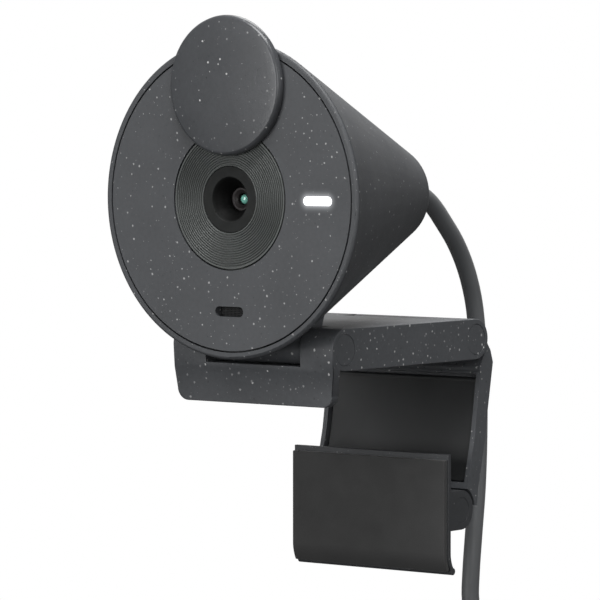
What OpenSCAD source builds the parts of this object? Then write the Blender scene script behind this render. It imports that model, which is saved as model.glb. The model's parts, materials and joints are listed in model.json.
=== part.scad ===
// Desk webcam: a cone-shaped camera head with a swinging privacy disc,
// tilting on a fold-out clip that hangs on the top edge of a monitor.
// Frame: +Z up, the lens looks along -Y, origin at the middle of the clip's
// seat, where its rubber pad rests on the monitor.

/* [Head] */
// Outside diameter of the head at its front rim
head_d = 53.05; // [48:0.5:64]
// Length of the head from its face to its rear cap
head_len = 47.5; // [42:0.5:58]
// Diameter that the cone's sides aim for at the rear cap
tail_d = 14; // [12:0.5:20]
// Radius of the rounded front rim
rim_round = 0.5; // [0.3:0.1:0.8]
// Radius of the rounding round the rear cap
tail_round = 4.2; // [3:0.1:5]
// Wall of the moulded shell
shell_wall = 1.8; // [1.4:0.1:2.2]
// Width of the rim around the face plate
rim_w = 1.12; // [0.9:0.05:1.5]
// Thickness of the face plate
face_t = 1.4; // [1.2:0.1:1.8]
// Gap round the face plate and round the lens ring
face_gap = 0.3; // [0.15:0.05:0.35]
// Thickness of the adhesive ring behind the face plate
bond_t = 0.2; // [0.1:0.05:0.3]

/* [Lens] */
// Diameter of the grooved ring round the lens
trim_d = 23; // [21:0.5:28]
// Number of fine grooves in the ring
groove_n = 14; // [8:1:16]
// Depth of each groove
groove_depth = 0.25; // [0.15:0.05:0.3]
// Diameter of the lens hood at the front
hood_d = 11; // [10:0.5:13]
// Diameter of the hood's mouth
mouth_d = 7.5; // [6.5:0.5:9]
// Depth of the funnel from the face to the lens
funnel_depth = 3.2; // [2.8:0.1:4]
// Diameter of the lens barrel's nose at the bottom of the funnel
nose_d = 3.8; // [3.4:0.2:4.4]
// Diameter of the threaded lens barrel
barrel_d = 8; // [7:0.5:9.5]
// Diameter of the clear opening in front of the glass
glass_d = 2; // [1.6:0.1:2.4]

/* [Indicator and microphone] */
// Distance of the indicator light from the lens axis
led_x = 18.35; // [17.5:0.25:20]
// Length of the indicator window
led_l = 5.9; // [4.5:0.25:6.5]
// Height of the indicator window
led_h = 1.55; // [1.2:0.1:2]
// Distance of the microphone slot below the lens axis
mic_drop = 18.6; // [17.5:0.1:19.5]
// Length of the microphone slot
mic_l = 5.9; // [4.5:0.1:7]
// Height of the microphone slot
mic_h = 1.7; // [1.4:0.1:2]

/* [Privacy disc] */
// Diameter of the disc
shutter_d = 23.2; // [22.5:0.5:28]
// Thickness of the disc
shutter_t = 1.27; // [1:0.05:1.6]
// How much the disc's front is crowned towards its middle
shutter_crown = 0.4; // [0:0.05:0.8]
// Gap between the disc and the face
shutter_gap = 0.3; // [0.2:0.05:0.4]
// Height of the disc's centre above the lens axis when it is open
shutter_rise = 18.85; // [18:0.25:20]
// Diameter of the pivot pin
shutter_pin_d = 1.6; // [1.2:0.1:2]

/* [Circuit boards] */
// Diameter of the camera board
board_d = 31; // [28:1:31]
// Distance of the camera board behind the face
board_set = 14; // [13.5:0.5:15]
// Diameter of the rear board
main_d = 25; // [22:1:25]
// Distance of the rear board behind the face
main_set = 22; // [21:0.5:23]
// Thickness of both boards
board_t = 1.2; // [0.8:0.1:1.6]

/* [Clip] */
// Clearance between the cone and the cheeks of the arm beside the neck
head_gap = 0.35; // [0.3:0.05:2]
// Distance from the face back to the middle of the seat
seat_set = 28; // [24:0.5:32]
// Distance of the tilt pivot behind the face
tilt_set = 9.5; // [9:0.25:10]
// Distance between the tilt pivot and the leg pivot
arm_len = 37.6; // [31:0.2:46]
// Height of the arm
arm_t = 7; // [6.6:0.1:7.6]
// Height of the arm's underside above the seat, which the rubber pad fills
seat_rise = 0.3; // [0.2:0.1:0.5]
// Width of the clip
clip_w = 33.8; // [31:0.2:41]
// How far the front lip hangs below the seat
lip_drop = 5.7; // [5:0.1:8]
// Thickness of the front lip
lip_t = 1.8; // [1.5:0.1:2.2]
// How far the lip's lower edge leans back
lip_lean = 0.7; // [0:0.1:1]
// How much narrower each side of the lip is at its lower edge
lip_taper = 0.5; // [0:0.1:1]
// Radius of the lip's lower corners
lip_round = 2.1; // [1:0.1:3]
// Width of the tilt neck
neck_w = 18.8; // [16:0.2:22]
// Diameter of the neck's hinge barrel
neck_d = 5.3; // [4.8:0.1:5.6]
// Diameter of the tilt pin and the leg pin
pin_d = 2.4; // [2:0.1:2.8]
// Diameter of the caps over the pin ends
cap_d = 5.2; // [4.4:0.1:5.6]
// Thickness of the caps
cap_t = 1; // [0.8:0.1:1.4]

/* [Leg] */
// Distance from the leg pivot to the foot pivot
leg_len = 29.5; // [25:0.5:36]
// Forward lean of the leg as it is shown
leg_lean = 7.2; // [0:0.1:12]
// Width of the leg
leg_w = 33; // [30:0.5:40]
// Thickness of the leg
leg_t = 3.2; // [2.8:0.1:3.6]
// Width of the leg's upper knuckle
knuckle_w = 17; // [14:0.5:20]
// Width of the leg's lower knuckle
heel_w = 15.2; // [12:0.2:18]
// Thickness of the leg's inlaid panel
panel_t = 0.8; // [0.6:0.1:1]
// Width of the leg's frame round the panel
rim_leg = 0.9; // [0.7:0.1:2]
// How deep the panel lies below the front of the leg
panel_sink = 1; // [0.4:0.1:1.2]

/* [Foot] */
// Width of the foot plate
foot_w = 33.2; // [30:0.2:40]
// Height of the foot plate above its pivot
foot_up = 9.8; // [8:0.2:12]
// Straight height of the foot plate below its pivot
foot_down = 7.2; // [6:0.2:9]
// Radius of the curl at the foot's lower edge
curl_r = 5.6; // [5:0.1:7]
// Diameter of the foot's hinge block
block_d = 6.8; // [6.4:0.1:7.4]
// Distance from the foot pivot forward to the back of the plate
plate_set = 3.3; // [3.1:0.1:4]
// Thickness of the foot plate
plate_t = 0.8; // [0.7:0.1:1.2]
// Thickness of the rubber foot pad
pad_t = 0.9; // [0.7:0.1:1.4]
// Diameter of the foot pin
foot_pin_d = 2; // [1.6:0.1:2.4]

/* [Cable and plug] */
// Diameter of the cable
cable_d = 3.2; // [2.8:0.1:3.8]
// Length of the strain relief outside the head
boot_len = 3.5; // [3:0.5:5]
// Width of the plug's grip
grip_w = 12; // [10:0.5:14]
// Thickness of the plug's grip
grip_t = 6.5; // [5.5:0.25:8]
// Length of the plug's grip
grip_len = 20; // [16:0.5:24]

/* [Hidden] */
$fn = 96;
// Running clearance of a pin in a moving bore, and of a pin in a fixed bore
pin_gap = 0.05;
set_gap = 0.02;
// Clearance between moving plastic faces, and between parts that are fitted together
move_gap = 0.3;
fit_gap = 0.1;
eps = 0.01;

// The cone of the head: slope of its side, and the radius its side would have at the face
cone_k = (head_d - tail_d) / (2 * head_len);
cone_s = sqrt(1 + cone_k * cone_k);
cone_r = head_d / 2 - rim_round + rim_round * (cone_k + cone_s);
function cone_at(h, inset = 0) = cone_r - cone_k * h - inset * cone_s;

// Face plate and what sits in it
face_y = -seat_set;
face_r = head_d / 2 - rim_w - face_gap;
ledge_h = face_t + bond_t;
groove_in = hood_d / 2 + 0.2;
groove_out = trim_d / 2 - 0.25;
groove_pitch = (groove_out - groove_in) / groove_n;
flange_t = 0.8;
ring_back = face_t + flange_t;
shutter_z = shutter_rise / 2;
// Studs that carry the camera board stand round the lens ring; spacers carry the rear board
stud_r = 1.8;
stud_place = trim_d / 2 + face_gap + stud_r;
stud_turn = 90;
spacer_place = main_d / 2 - 2.5;
spacer_turn = 30;

// Optics, measured back from the face
barrel_front = funnel_depth + 0.8;
barrel_back = barrel_front + 7;
holder_w = barrel_d + 2.4;
filter_t = 0.3;
sensor_t = 0.8;

// Clip
pivot_z = seat_rise + arm_t / 2;
tilt_y = face_y + tilt_set;
leg_y = tilt_y + arm_len;
arm_r = arm_t / 2;
lip_y = tilt_y - arm_r;

// Neck: its foot stands in a pocket of the shell, under a seat for two screws
neck_rise = 7;
neck_front = -2.3;
neck_back = 4.8;
neck_waist = 3.6;
neck_top = pivot_z + neck_rise;
neck_seat_t = 1.7;
neck_cheek = 1.5;
neck_screw_x = 5;
neck_screw_y = 1.2;
neck_screw_r = 0.8;

// Slots of the clip for the neck and for the leg, and its rubber pads
slot_w = neck_w + 4 * move_gap;
slot_back = neck_back + 0.4;
slot_floor = 1.5;
// The cone's height follows from its gap to the cheeks: how far below the lens axis it is there
cheek_drop = sqrt(pow(cone_at(tilt_set), 2) - pow(slot_w / 2, 2));
cheek_slope = norm([1, cone_k * cone_at(tilt_set) / cheek_drop]);
lens_height = pivot_z + cheek_drop + (arm_r + head_gap) * cheek_slope;
// How far back the head tilts, which the arm is hollowed for behind the neck
tilt_back = 10;
washer_t = 0.4;
pin_l = clip_w - 2 * cap_t - 0.4;
rear_slot_w = knuckle_w + 0.8;
rear_slot_in = 4.2;
lip_pad_t = 0.6;
lip_pad_proud = 0.2;
seat_pad_t = 1;
seat_pad_l = 20;
seat_pad_w = clip_w - 6;

// Leg and foot
leg_top_front = 2.6;
leg_hug = block_d / 2 + 0.5;
leg_foot_front = 1.25;
leg_foot_z = -leg_len + sqrt(leg_hug * leg_hug - leg_foot_front * leg_foot_front);
panel_top = -6.9;
panel_groove = 1;
panel_gap = 0.15;
panel_base = leg_foot_z + 1.2;
foot_y = leg_y - leg_len * sin(leg_lean);
foot_z = pivot_z - leg_len * cos(leg_lean);
foot_ear_in = heel_w / 2 + 0.4;
foot_cap_d = 4.4;
pad_margin = 0.9;
pad_side = 0.2;
curl_angle = 30;
bead_angle = curl_angle + 8;
bead_r = 0.62;

// Cable: where its run lies, then a coil of turns 4 wide and 3 deep, and a tail to the plug
run_points = [
    [0, 23.1, 28.6], [0, 24.6, 28.6], [0, 27.5, 27.7], [0, 30.3, 25.8], [0, 33, 23.3], [0, 36.3, 20],
    [0, 39.1, 16.2], [0, 41.2, 12.1], [0, 42.7, 7.4], [0, 43.6, 1], [0, 44, -7], [0, 44, -16],
    [0, 43.5, -25],
    [0, 42.5, -33], [0, 41.7, -40], [0, 41.6, -45], [1, 42, -49.9], [3.8, 42.7, -54],
    [9.5, 43.8, -59.8], [15.8, 44.8, -66.2]
];
tail_points = [[22.4, 35.2, -82], [22.4, 35.2, -89], [22.4, 35.2, -96]];
coil_d = 38.4;
coil_y = 40;
coil_z = -82;
coil_turns_deep = 3;
coil_turns_wide = 4;
tie_l = 8;
tie_t = 0.9;
plug_x = tail_points[2][0];
plug_y = tail_points[2][1];
plug_z = tail_points[2][2];
plug_boot_l = 8;
shell_w = 8.34;
shell_t = 2.56;
shell_l = 6.65;

// Colours
graphite = [0.26, 0.265, 0.27];
dark_plastic = [0.13, 0.135, 0.14];
rubber = [0.1, 0.1, 0.1];
steel = [0.72, 0.73, 0.75];
board_green = [0.08, 0.3, 0.16];
glass_green = [0.25, 0.55, 0.5, 0.6];

// ---- helpers ----

// Turns a solid built along +Z so that it runs back along +Y from the face, on the lens axis
module behind_face(h = 0) {
    translate([0, face_y + h, lens_height]) rotate([-90, 0, 0]) children();
}

// A round bar along Y, h1 to h2 behind the face, at x, z from the lens axis
module bar_y(r, h1, h2, x = 0, z = 0) {
    behind_face(h1) translate([x, -z, 0]) cylinder(r = r, h = h2 - h1);
}

// A box behind the face, centred on x, z from the lens axis
module block_y(w, d, h1, h2, x = 0, z = 0) {
    translate([x - w / 2, face_y + h1, lens_height + z - d / 2]) cube([w, h2 - h1, d]);
}

// A rounded bar shape, l long and d high, between h1 and h2 behind the face
module slot_y(l, d, h1, h2, x = 0, z = 0) {
    block_y(l - d, d, h1, h2, x, z);
    bar_y(d / 2, h1, h2, x - (l - d) / 2, z);
    bar_y(d / 2, h1, h2, x + (l - d) / 2, z);
}

// A round bar along X through y, z, from x1 to x2
module bar_x(r, x1, x2, y = 0, z = 0) {
    translate([x1, y, z]) rotate([0, 90, 0]) cylinder(r = r, h = x2 - x1);
}

// A y-z outline stood up and drawn out along X from x1 to x2
module draw_x(x1, x2) {
    translate([x1, 0, 0]) rotate([90, 0, 90]) linear_extrude(height = x2 - x1) children();
}

// The same thing on both sides
module both_sides() {
    children();
    mirror([1, 0, 0]) children();
}

// The leg's frame at rest: origin at the leg pivot, foot pivot straight below
module on_leg() {
    translate([0, leg_y, pivot_z]) rotate([-leg_lean, 0, 0]) children();
}

// The foot's frame: origin at the foot pivot
module on_foot() {
    translate([0, foot_y, foot_z]) children();
}

// Half outline of a cone like the head's, as radius and distance behind the face, inset all
// round, with its rear edge rounded
module cone_outline(h1, h2, inset, rear_round) {
    rear_r = cone_at(h2 - rear_round, inset) - rear_round * cone_s;
    polygon([
        [0, h1], [cone_at(h1, inset), h1],
        [rear_r + rear_round / cone_s, h2 - rear_round + rear_round * cone_k / cone_s],
        [rear_r, h2 - rear_round], [rear_r, h2], [0, h2]
    ]);
    translate([rear_r, h2 - rear_round]) circle(r = rear_round);
}

// Half outline of the head, with its front rim rounded
module head_outline() {
    rim_r = cone_at(rim_round) - rim_round * cone_s;
    rim_back = rim_round + rim_round * cone_k / cone_s;
    cone_outline(rim_back, head_len, 0, tail_round);
    polygon([[0, 0], [rim_r, 0], [rim_r, rim_round], [cone_at(rim_back), rim_back], [0, rim_back]]);
    translate([rim_r, rim_round]) circle(r = rim_round);
}

// Three places on a circle of radius r round the lens axis, turned by start
module three_round(r, start) {
    for (i = [0:2]) {
        a = start + 120 * i;
        translate([r * cos(a), 0, r * sin(a)]) children();
    }
}

// A tube swept along points, with eight sides
function unit(v) = v / norm(v);
function heading(p, i) =
    i == 0 ? unit(p[1] - p[0])
    : i == len(p) - 1 ? unit(p[i] - p[i - 1])
    : unit(unit(p[i + 1] - p[i]) + unit(p[i] - p[i - 1]));
function ring_at(p, i, r, n) =
    let (t = heading(p, i), u = unit(cross(t, [1, 0, 0])), v = cross(t, u))
    [for (k = [0:n - 1]) p[i] + r * (cos(360 * k / n) * u + sin(360 * k / n) * v)];

module tube_along(p, d) {
    n = 8;
    m = len(p);
    points = [for (i = [0:m - 1]) each ring_at(p, i, d / 2, n)];
    faces = concat(
        [[for (k = [0:n - 1]) k]],
        [for (i = [0:m - 2], k = [0:n - 1])
            [i * n + k, (i + 1) * n + k, (i + 1) * n + (k + 1) % n, i * n + (k + 1) % n]],
        [[for (k = [n - 1:-1:0]) (m - 1) * n + k]]
    );
    polyhedron(points = points, faces = faces);
}

// ---- head ----

module rear_shell() {
    pocket_half = neck_w / 2 + fit_gap;
    pocket_front = tilt_set + neck_front - fit_gap;
    pocket_back = tilt_set + neck_back + fit_gap;
    seat_z = neck_top - lens_height;
    color(graphite) difference() {
        union() {
            difference() {
                behind_face() rotate_extrude() head_outline();
                behind_face() rotate_extrude()
                    cone_outline(ledge_h, head_len - shell_wall - 0.4, shell_wall, 2.4);
            }
            // Pocket walls and screw seat for the neck
            intersection() {
                behind_face() rotate_extrude()
                    cone_outline(ledge_h, head_len - 10, shell_wall / 2, 1);
                block_y(2 * (pocket_half + neck_cheek), 14, pocket_front - neck_cheek,
                    pocket_back + neck_cheek, 0, seat_z + neck_seat_t - 7);
            }
        }
        // Recess for the face plate
        bar_y(face_r + face_gap, -1, ledge_h);
        // Pocket for the neck
        block_y(2 * pocket_half, 14, pocket_front, pocket_back, 0, seat_z - 7);
        // Screw holes in the seat
        both_sides() translate([neck_screw_x, tilt_y + neck_screw_y, neck_top - 1])
            cylinder(r = neck_screw_r + set_gap, h = 5);
        // Hole for the strain relief
        bar_y(cable_d / 2 + 1, head_len - shell_wall - 3, head_len + 1);
    }
}

module face_plate() {
    color(graphite) difference() {
        union() {
            bar_y(face_r, 0, face_t);
            // Studs that carry the camera board
            three_round(stud_place, stud_turn) bar_y(stud_r, face_t, board_set);
            // Pegs for the two small boards
            board_peg(led_x, 3.6, 5);
            board_peg(led_x, -3.6, 5);
            board_peg(-5.2, -mic_drop, 3.7);
            board_peg(5.2, -mic_drop, 3.7);
        }
        bar_y(trim_d / 2 + face_gap, -1, face_t + 1);
        slot_y(led_l, led_h, -1, face_t + 1, led_x, 0);
        slot_y(mic_l, mic_h, -1, face_t + 1, 0, -mic_drop);
        three_round(stud_place, stud_turn) bar_y(0.8, board_set - 5, board_set + 1);
    }
}

// A peg of the face plate with a pin that passes through a small board
module board_peg(x, z, top) {
    bar_y(0.9, face_t, top, x, z);
    bar_y(0.45, face_t, top + 1.3, x, z);
}

module bond_ring() {
    color(rubber) difference() {
        bar_y(face_r - 0.1, face_t, ledge_h);
        bar_y(cone_at(ledge_h, shell_wall) + 0.1, 0, ledge_h + 1);
    }
}

module lens_ring() {
    color(dark_plastic) difference() {
        behind_face() rotate_extrude() polygon(concat(
            [[hood_d / 2 + fit_gap, ring_back], [hood_d / 2 + fit_gap, 0.1]],
            [for (i = [0:groove_n - 1]) let (r = groove_in + i * groove_pitch) each [
                [r, 0.1], [r + 0.3 * groove_pitch, 0.1],
                [r + 0.5 * groove_pitch, 0.1 + groove_depth],
                [r + 0.8 * groove_pitch, 0.1 + groove_depth]
            ]],
            [
                [groove_out, 0.05], [trim_d / 2, 0.05], [trim_d / 2, face_t],
                [trim_d / 2 + 1.2, face_t], [trim_d / 2 + 1.2, ring_back]
            ]
        ));
        bar_y(shutter_pin_d / 2 + pin_gap, -1, ring_back + 1, 0, shutter_z);
        // Notches in the flange for the camera board's studs
        three_round(stud_place, stud_turn) bar_y(stud_r + fit_gap, face_t - fit_gap, ring_back + 1);
    }
}

module lens_hood() {
    color(dark_plastic) behind_face() rotate_extrude() polygon([
        [mouth_d / 2, 0.15], [hood_d / 2, 0.15], [hood_d / 2, ring_back],
        [hood_d / 2 + 1, ring_back], [hood_d / 2 + 1, ring_back + 0.8],
        [nose_d / 2 + fit_gap, ring_back + 0.8], [nose_d / 2 + fit_gap, funnel_depth - 0.4],
        [mouth_d / 2 - 0.9, 1.4], [mouth_d / 2 - 0.2, 0.7]
    ]);
}

module lens_barrel() {
    color("black") difference() {
        union() {
            bar_y(nose_d / 2, funnel_depth, barrel_front + eps);
            bar_y(barrel_d / 2, barrel_front, barrel_back);
        }
        // Countersunk opening, seat of the front glass, and the bore to the rear glass
        behind_face(funnel_depth - eps)
            cylinder(r1 = nose_d / 2 - 0.3, r2 = glass_d / 2, h = 0.5);
        bar_y(glass_d / 2, funnel_depth, barrel_front + 0.3);
        bar_y(glass_d / 2 + 0.6, barrel_front + 0.2, barrel_front + 1.6);
        bar_y(glass_d / 2 + 0.2, barrel_front + 1, barrel_back - 1.4);
        bar_y(barrel_d / 2 - 1, barrel_back - 1.5, barrel_back + 1);
    }
}

module front_glass() {
    dome = glass_d / 2 + 0.15;
    color(glass_green) {
        bar_y(glass_d / 2 + 0.58, barrel_front + 0.22, barrel_front + 1.2);
        intersection() {
            behind_face(barrel_front + 0.9) sphere(r = dome);
            bar_y(glass_d / 2 - 0.06, 0, barrel_front + 0.5);
        }
    }
}

module rear_glass() {
    color(glass_green) bar_y(barrel_d / 2 - 1.02, barrel_back - 1.48, barrel_back - 0.3);
}

module lens_holder() {
    color(dark_plastic) difference() {
        block_y(holder_w, holder_w, barrel_back - 3, board_set);
        bar_y(barrel_d / 2 + fit_gap / 2, barrel_back - 4, barrel_back + 0.2);
        bar_y(barrel_d / 2 - 0.8, barrel_back, barrel_back + 1);
        block_y(holder_w - 2.4, holder_w - 2.4, barrel_back + 0.8, board_set + 1);
    }
}

module infrared_filter() {
    color([0.5, 0.3, 0.6, 0.5])
        block_y(holder_w - 2.6, holder_w - 2.6, barrel_back + 0.8, barrel_back + 0.8 + filter_t);
}

module image_sensor() {
    color(dark_plastic) block_y(6, 4.6, board_set - sensor_t, board_set);
}

module camera_board() {
    color(board_green) difference() {
        union() {
            bar_y(board_d / 2, board_set, board_set + board_t);
            // Ears round the screws
            three_round(stud_place, stud_turn) bar_y(stud_r + 0.2, board_set, board_set + board_t);
        }
        three_round(stud_place, stud_turn) bar_y(0.9, board_set - 1, board_set + 3);
        three_round(spacer_place, spacer_turn) bar_y(0.9, board_set - 1, board_set + 3);
    }
}

module board_screws() {
    color(steel) three_round(stud_place, stud_turn) {
        bar_y(0.78, board_set - 4, board_set + board_t + eps);
        bar_y(1.5, board_set + board_t, board_set + board_t + 1);
    }
}

module board_spacers() {
    color("goldenrod") three_round(spacer_place, spacer_turn) {
        bar_y(0.85, board_set + 0.2, main_set + board_t - 0.2);
        bar_y(1.7, board_set + board_t, main_set);
    }
}

module main_board() {
    color(board_green) difference() {
        bar_y(main_d / 2, main_set, main_set + board_t);
        three_round(spacer_place, spacer_turn) bar_y(0.9, main_set - 1, main_set + 3);
    }
}

module shield_can() {
    color(steel) difference() {
        block_y(11, 9, main_set - 2.2, main_set);
        block_y(10.4, 8.4, main_set - 1.9, main_set + 1);
    }
}

module cable_connector() {
    color("ivory") block_y(7, 5, main_set + board_t, main_set + board_t + 3.8);
}

module inner_lead() {
    color(rubber) bar_y(cable_d / 2, main_set + board_t + 3.8, head_len - shell_wall - 2.2);
}

module led_window() {
    color("white") {
        slot_y(led_l - fit_gap, led_h - fit_gap, 0, face_t + eps, led_x, 0);
        slot_y(led_l + 1, led_h + 1, face_t, face_t + 0.8, led_x, 0);
        block_y(2.4, 1.4, face_t + 0.8, 4.2, led_x, 0);
    }
}

module led_chip() {
    color("white") block_y(1.6, 0.8, 4.3, 5, led_x, 0);
}

module led_board() {
    color(board_green) small_board(led_x, 0, 4.6, 9.2, 5, [[0, 3.6], [0, -3.6]]);
}

module mic_mesh() {
    color(steel) block_y(mic_l + 0.8, mic_h + 0.9, face_t, face_t + 0.15, 0, -mic_drop);
}

module mic_gasket() {
    color(rubber) difference() {
        block_y(mic_l + 0.8, 3.4, face_t + 0.15, 2.6, 0, -mic_drop);
        bar_y(0.7, face_t, 3, 0, -mic_drop);
    }
}

module microphone() {
    color(steel) block_y(4, 3, 2.6, 3.7, 0, -mic_drop);
}

module mic_board() {
    color(board_green) small_board(0, -mic_drop, 12.6, 4, 3.7, [[5.2, 0], [-5.2, 0]]);
}

// A small board behind the face with holes at given places for its pegs
module small_board(x, z, w, d, h, holes) {
    difference() {
        block_y(w, d, h, h + 0.8, x, z);
        for (p = holes) bar_y(0.5, h - 1, h + 2, x + p[0], z + p[1]);
    }
}

module cable_boot() {
    wall_in = head_len - shell_wall - 0.4;
    bore = cable_d / 2 + set_gap;
    color(rubber) behind_face() rotate_extrude() polygon([
        [bore, wall_in - 1.8], [cable_d / 2 + 2.4, wall_in - 1.8], [cable_d / 2 + 2.4, wall_in],
        [cable_d / 2 + 0.95, wall_in], [cable_d / 2 + 0.95, head_len + 0.4],
        [cable_d / 2 + 0.4, head_len + boot_len], [0, head_len + boot_len], [0, wall_in], [bore, wall_in]
    ]);
}

// ---- privacy disc ----

module privacy_disc() {
    back_r = shutter_d / 2;
    front_r = back_r - 0.65;
    steps = 8;
    color(graphite) difference() {
        translate([0, 0, shutter_rise]) behind_face(-shutter_gap - shutter_t) rotate_extrude()
            polygon(concat(
                [for (i = [0:steps]) [front_r * i / steps, shutter_crown * (pow(i / steps, 2) - 1)]],
                [
                    [back_r - 0.35, 0.12], [back_r - 0.12, 0.4], [back_r, 0.8],
                    [back_r, shutter_t], [0, shutter_t]
                ]
            ));
        bar_y(shutter_pin_d / 2 + set_gap, -shutter_gap - 0.8, 1, 0, shutter_z);
    }
}

module shutter_pin() {
    color(steel) bar_y(shutter_pin_d / 2, -shutter_gap - 0.8, ring_back + 0.7, 0, shutter_z);
}

module shutter_washer() {
    color(steel) difference() {
        bar_y(1.6, -shutter_gap + 0.1, 0.05, 0, shutter_z);
        bar_y(shutter_pin_d / 2 + pin_gap, -1, 1, 0, shutter_z);
    }
}

module shutter_clip() {
    color(steel) difference() {
        bar_y(1.7, ring_back + 0.08, ring_back + 0.5, 0, shutter_z);
        bar_y(shutter_pin_d / 2 + set_gap, ring_back - 1, ring_back + 2, 0, shutter_z);
    }
}

// ---- tilt neck ----

module tilt_neck() {
    top = neck_top - pivot_z;
    color(graphite) difference() {
        translate([0, tilt_y, pivot_z]) {
            bar_x(neck_d / 2, -neck_w / 2, neck_w / 2);
            draw_x(-neck_w / 2, neck_w / 2) polygon([
                [neck_front, 0], [neck_front, top], [neck_back, top], [neck_waist, arm_r],
                [neck_d / 2, 0]
            ]);
        }
        bar_x(pin_d / 2 + pin_gap, -neck_w, neck_w, tilt_y, pivot_z);
        both_sides() translate([neck_screw_x, tilt_y + neck_screw_y, neck_top - 4.8])
            cylinder(r = neck_screw_r + set_gap, h = 6);
    }
}

module neck_screws() {
    seat = neck_top + neck_seat_t;
    color(steel) both_sides() translate([neck_screw_x, tilt_y + neck_screw_y, 0]) {
        translate([0, 0, neck_top - 4.6]) cylinder(r = neck_screw_r, h = seat - neck_top + 4.6 + eps);
        translate([0, 0, seat]) cylinder(r = 1.5, h = 0.9);
    }
}

// ---- clip bracket ----

// Side outline of the arm and lip
module bracket_side() {
    translate([tilt_y, pivot_z]) circle(r = arm_r);
    translate([leg_y, pivot_z]) circle(r = arm_r);
    translate([tilt_y, seat_rise]) square([arm_len, arm_t]);
    polygon([
        [lip_y, pivot_z], [lip_y + lip_lean, -lip_drop], [lip_y + lip_lean + lip_t, -lip_drop],
        [lip_y + lip_lean / 2 + lip_t, seat_rise + 0.1], [tilt_y, pivot_z]
    ]);
}

// Front outline of the bracket: straight arm, tapered lip with round corners
module bracket_front() {
    low_x = clip_w / 2 - lip_taper;
    translate([-clip_w / 2, 0]) square([clip_w, seat_rise + arm_t + 1]);
    polygon([
        [-clip_w / 2, eps], [clip_w / 2, eps], [low_x, lip_round - lip_drop],
        [low_x - lip_round, -lip_drop], [lip_round - low_x, -lip_drop], [-low_x, lip_round - lip_drop]
    ]);
    for (s = [-1, 1]) translate([s * (low_x - lip_round), lip_round - lip_drop]) circle(r = lip_round);
}

module clip_bracket() {
    color(graphite) difference() {
        intersection() {
            draw_x(-clip_w / 2, clip_w / 2) bracket_side();
            translate([0, leg_y + 20, 0]) rotate([90, 0, 0])
                linear_extrude(height = arm_len + 50) bracket_front();
        }
        // Slot for the neck
        bar_x(neck_d / 2 + move_gap, -slot_w / 2, slot_w / 2, tilt_y, pivot_z);
        translate([-slot_w / 2, tilt_y - arm_r - 2, pivot_z - neck_d / 2 - 0.15])
            cube([slot_w, arm_r + 2, arm_t + 2]);
        translate([-slot_w / 2, tilt_y - eps, pivot_z - slot_floor])
            cube([slot_w, slot_back, arm_t]);
        // Hollow that the cone swings down into
        translate([0, tilt_y, pivot_z]) rotate([-tilt_back, 0, 0]) translate([0, -tilt_y, -pivot_z])
            behind_face() cylinder(r1 = cone_at(0, -move_gap), r2 = cone_at(head_len, -move_gap), h = head_len);
        // Slot for the leg's knuckle
        translate([-rear_slot_w / 2, leg_y - rear_slot_in, -1])
            cube([rear_slot_w, rear_slot_in + arm_t, arm_t + 3]);
        // Pin bores and cap recesses
        for (y = [tilt_y, leg_y]) {
            bar_x(pin_d / 2 + set_gap, -clip_w, clip_w, y, pivot_z);
            both_sides() bar_x(cap_d / 2 + 0.06, clip_w / 2 - cap_t - 0.1, clip_w / 2 + 1, y, pivot_z);
        }
        // Recesses for the two rubber pads
        translate([-seat_pad_w / 2 - 0.05, -seat_pad_l / 2 - 0.05, -1])
            cube([seat_pad_w + 0.1, seat_pad_l + 0.1, 1 + seat_pad_t]);
        lip_pad_block(0.05);
    }
}

// The strip of rubber let into the back of the lip, following its lean
module lip_pad_block(grow) {
    back_y = lip_y + lip_lean / 2 + lip_t;
    lean = atan(lip_lean / 2 / (lip_drop + seat_rise));
    translate([0, back_y, seat_rise]) rotate([lean, 0, 0])
        translate([-clip_w / 2 + 4 - grow, lip_pad_proud - lip_pad_t, 1.6 - lip_drop - grow])
            cube([clip_w - 8 + 2 * grow, lip_pad_t + grow, lip_drop - 2.4 + 2 * grow]);
}

module lip_pad() {
    color(rubber) lip_pad_block(0);
}

module seat_pad() {
    color(rubber) translate([-seat_pad_w / 2, -seat_pad_l / 2, 0])
        cube([seat_pad_w, seat_pad_l, seat_pad_t]);
}

module tilt_pin() {
    color(steel) bar_x(pin_d / 2, -pin_l / 2, pin_l / 2, tilt_y, pivot_z);
}

module leg_pin() {
    color(steel) bar_x(pin_d / 2, -pin_l / 2, pin_l / 2, leg_y, pivot_z);
}

module tilt_washers() {
    color(steel) both_sides() difference() {
        bar_x(neck_d / 2 - 0.2, slot_w / 2 - washer_t, slot_w / 2, tilt_y, pivot_z);
        bar_x(pin_d / 2 + pin_gap, 0, clip_w, tilt_y, pivot_z);
    }
}

module pin_caps() {
    color(graphite) for (y = [tilt_y, leg_y]) both_sides()
        bar_x(cap_d / 2, clip_w / 2 - cap_t - 0.1, clip_w / 2 - 0.05, y, pivot_z);
}

// ---- leg ----

// Side outline of the leg, hollowed below round the foot's hinge block
module leg_side() {
    difference() {
        polygon([
            [leg_top_front + 1.3, -0.3], [leg_top_front + 2.5, -1.5], [leg_top_front + 3.5, -3.5],
            [leg_top_front + 3, -12], [leg_top_front - 0.3 + leg_t, -leg_len / 2 - 2],
            [leg_foot_front + leg_t, leg_foot_z], [leg_foot_front + leg_t + 0.1, -leg_len + 1],
            [leg_foot_front, -leg_len + 1], [leg_foot_front, leg_foot_z],
            [leg_top_front - 0.3, -leg_len / 2 - 2], [leg_top_front, -4.4]
        ]);
        translate([0, -leg_len]) circle(r = leg_hug);
    }
    // Round bar along the top edge
    translate([leg_top_front + 0.45, -4.9]) circle(r = 0.75);
}

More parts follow.
